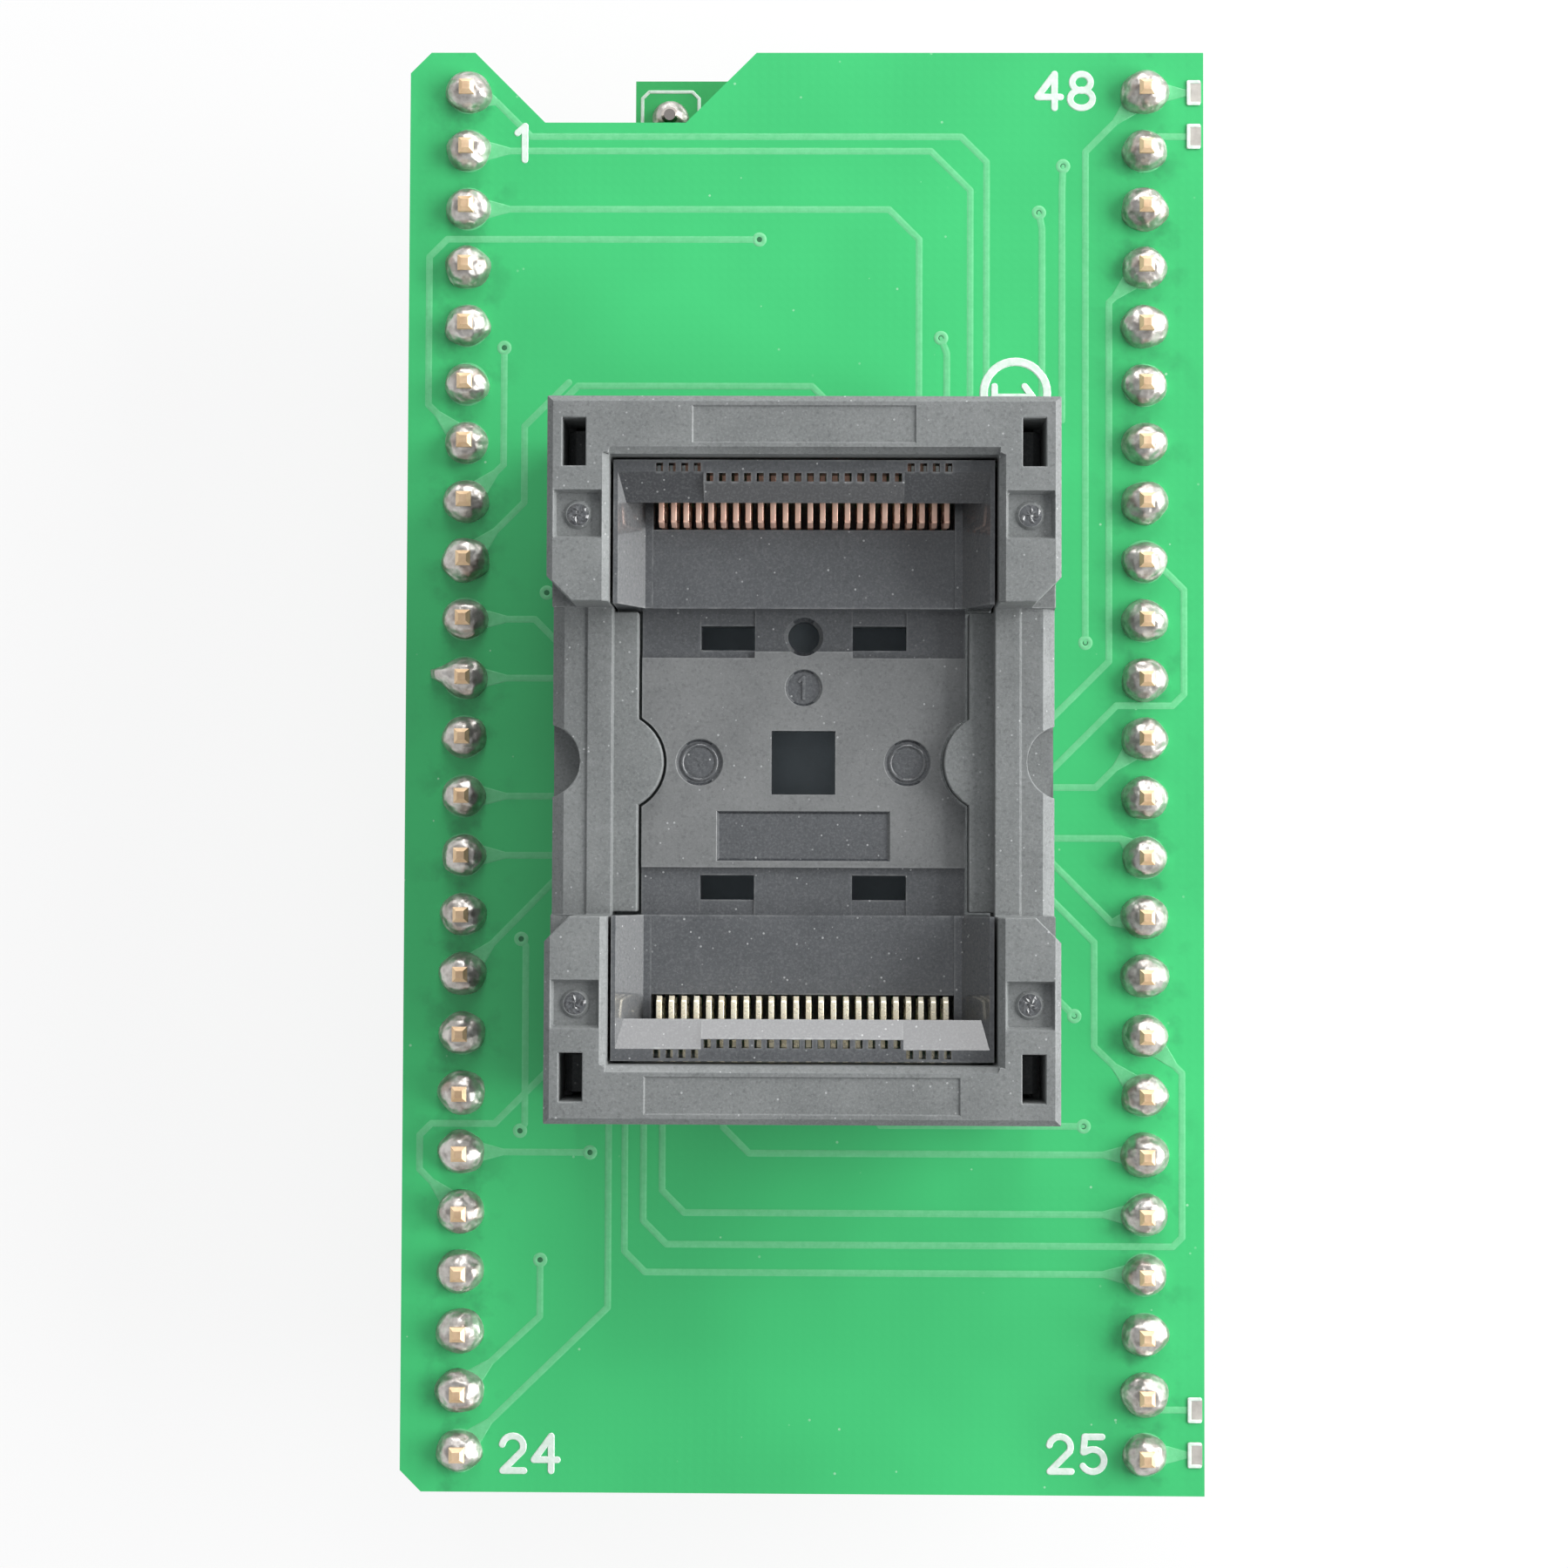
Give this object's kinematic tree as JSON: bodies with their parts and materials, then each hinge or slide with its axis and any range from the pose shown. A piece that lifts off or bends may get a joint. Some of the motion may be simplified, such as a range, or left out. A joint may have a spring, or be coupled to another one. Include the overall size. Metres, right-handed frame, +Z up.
{
  "type": "ic programming adapter",
  "caption": "Two-board adapter with an open-top, press-to-open test socket for a flat surface-mount memory chip above, and two rows of round plug pins for a wide DIP socket below.",
  "frame": {"origin": "under the middle of the boards, at the level of the plug pins' tips", "axes": "+Z up out of the socket, +Y along the boards towards the notched end, +X to the right seen from above"},
  "size_m": [0.0342, 0.062, 0.0223],
  "materials": {
    "circuit_board": "satin",
    "strip_plastic": "matte",
    "socket_plastic": "satin",
    "link_pin_metal": "satin",
    "plug_pin_metal": "polished",
    "contact_metal": "satin",
    "solder": "satin",
    "spring_steel": "polished"
  },
  "bodies": {
    "adapter": {"upper_board": "circuit_board", "lower_board": "circuit_board", "left_link_strip": "strip_plastic", "right_link_strip": "strip_plastic", "left_link_pins": "link_pin_metal", "right_link_pins": "link_pin_metal", "left_upper_joints": "solder", "right_upper_joints": "solder", "left_lower_joints": "solder", "right_lower_joints": "solder", "left_plug_strip": "strip_plastic", "right_plug_strip": "strip_plastic", "left_plug_pins": "plug_pin_metal", "right_plug_pins": "plug_pin_metal", "left_plug_joints": "solder", "right_plug_joints": "solder", "socket_base": "socket_plastic", "package_guide": "socket_plastic", "rear_contact_stems": "contact_metal", "front_contact_stems": "contact_metal", "rear_tail_joints": "solder", "front_tail_joints": "solder", "return_springs": "spring_steel", "edge_pads": "solder"},
    "cover": {"actuator_cover": "socket_plastic"},
    "rear_arms": {"rear_contact_arms": "contact_metal"},
    "front_arms": {"front_contact_arms": "contact_metal"}
  },
  "joints": [
    {"name": "cover_press", "type": "slide", "parent": "adapter", "child": "cover", "axis": [0, 0, -1], "range_m": [0, 0.002], "stiffness_N_per_m": 1500, "springref_m": -0.001, "deforming": ["return_springs"]},
    {"name": "rear_contacts_open", "type": "hinge", "parent": "adapter", "child": "rear_arms", "pos_m": [0, 0.0104, 0.01794], "axis": [-1, 0, 0], "range_deg": [0, 36]},
    {"name": "front_contacts_open", "type": "hinge", "parent": "adapter", "child": "front_arms", "pos_m": [0, -0.0104, 0.01794], "axis": [1, 0, 0], "range_deg": [0, 36]}
  ],
  "couplings": [
    {"joint": "rear_contacts_open", "follows": "cover_press", "rad_per_m": 314.15},
    {"joint": "front_contacts_open", "follows": "cover_press", "rad_per_m": 314.15}
  ]
}
